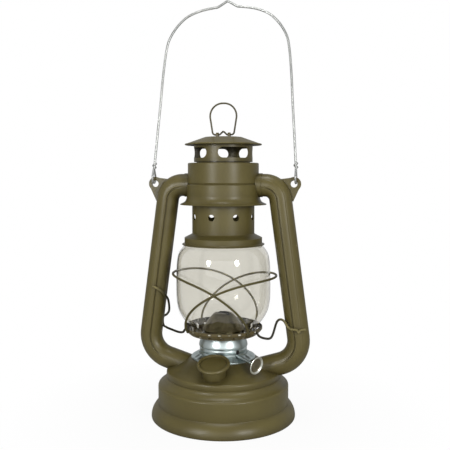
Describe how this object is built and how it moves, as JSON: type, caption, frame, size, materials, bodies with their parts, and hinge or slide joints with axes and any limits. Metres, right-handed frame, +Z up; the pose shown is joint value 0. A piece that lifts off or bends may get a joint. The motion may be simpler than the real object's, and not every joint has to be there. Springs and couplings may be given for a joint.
{
  "type": "hurricane lantern",
  "caption": "Oil hurricane lantern: round tank, two side air tubes, lifting glass globe with wire guard, sprung chimney with lifting ring, wick knob, screw filler cap and swinging wire bail.",
  "frame": {"origin": "on the table under the lantern's axis, at the middle of the foot", "axes": "+Z up along the chimney; the two side tubes lie in the XZ plane; -Y is the front with the filler cap; the wick knob is towards +X and the front"},
  "size_m": [0.1534, 0.128, 0.3679],
  "materials": {
    "olive_paint": "satin",
    "tinplate": "bright tinplate",
    "zinc": "galvanised",
    "globe_glass": "clear",
    "wick_cotton": "woven",
    "seal_cork": "cork and rubber"
  },
  "bodies": {
    "frame": {"tank_shell": "olive_paint", "tank_bottom": "olive_paint", "fuel_deck": "olive_paint", "tank_dome": "olive_paint", "filler_neck": "olive_paint", "burner_plate": "tinplate", "burner_skirt": "tinplate", "burner_body": "tinplate", "burner_cone": "tinplate", "wick_tube": "tinplate", "left_tube": "olive_paint", "right_tube": "olive_paint", "left_socket": "olive_paint", "right_socket": "olive_paint", "left_ear": "olive_paint", "right_ear": "olive_paint", "barrel": "olive_paint", "chimney_spring": "zinc"},
    "globe_carriage": {"gallery": "olive_paint", "globe": "globe_glass", "guard_wire_left": "olive_paint", "guard_wire_right": "olive_paint", "left_lift_wire": "olive_paint", "right_lift_wire": "olive_paint"},
    "chimney_top": {"chimney": "olive_paint", "flue_tube": "olive_paint", "spring_seat": "zinc", "vent_ring": "olive_paint", "hood": "olive_paint", "ring_staple": "olive_paint"},
    "ring": {"lift_ring": "olive_paint"},
    "bail": {"bail": "zinc"},
    "knob": {"wick_shaft": "zinc", "wick_sprockets": "zinc", "wick_knob": "zinc"},
    "wick": {"wick": "wick_cotton"},
    "seal": {"cap_seal": "seal_cork"},
    "cap": {"filler_cap": "olive_paint"}
  },
  "joints": [
    {"name": "bail_swing", "type": "hinge", "parent": "frame", "child": "bail", "pos_m": [0, 0, 0.21084], "axis": [1, 0, 0], "range_deg": [-98, 112]},
    {"name": "globe_lift", "type": "slide", "parent": "frame", "child": "globe_carriage", "axis": [0, 0, 1], "range_m": [0, 0.008], "deforming": ["chimney_spring"]},
    {"name": "chimney_lift", "type": "slide", "parent": "globe_carriage", "child": "chimney_top", "axis": [0, 0, 1], "range_m": [0, 0.013], "deforming": ["chimney_spring"]},
    {"name": "ring_fold", "type": "hinge", "parent": "chimney_top", "child": "ring", "pos_m": [0, 0, 0.2484], "axis": [1, 0, 0], "range_deg": [-85, 85]},
    {"name": "knob_turn", "type": "hinge", "parent": "frame", "child": "knob", "pos_m": [-0.00204, -0.00314, 0.0607], "axis": [0.8259, -0.5364, -0.1736], "range_deg": [-150, 180]},
    {"name": "wick_feed", "type": "slide", "parent": "frame", "child": "wick", "axis": [0, 0, 1], "range_m": [-0.0069, 0.0083]},
    {"name": "cap_rise", "type": "slide", "parent": "frame", "child": "seal", "axis": [0, -0.309, 0.9511], "range_m": [0, 0.00376]},
    {"name": "cap_turn", "type": "hinge", "parent": "seal", "child": "cap", "pos_m": [0, -0.04, 0.05721], "axis": [0, -0.309, 0.9511], "range_deg": [0, 450]}
  ],
  "couplings": [
    {"joint": "knob_turn", "follows": "wick_feed", "rad_per_m": 377.36},
    {"joint": "cap_rise", "follows": "cap_turn", "m_per_rad": 0.00047746}
  ]
}
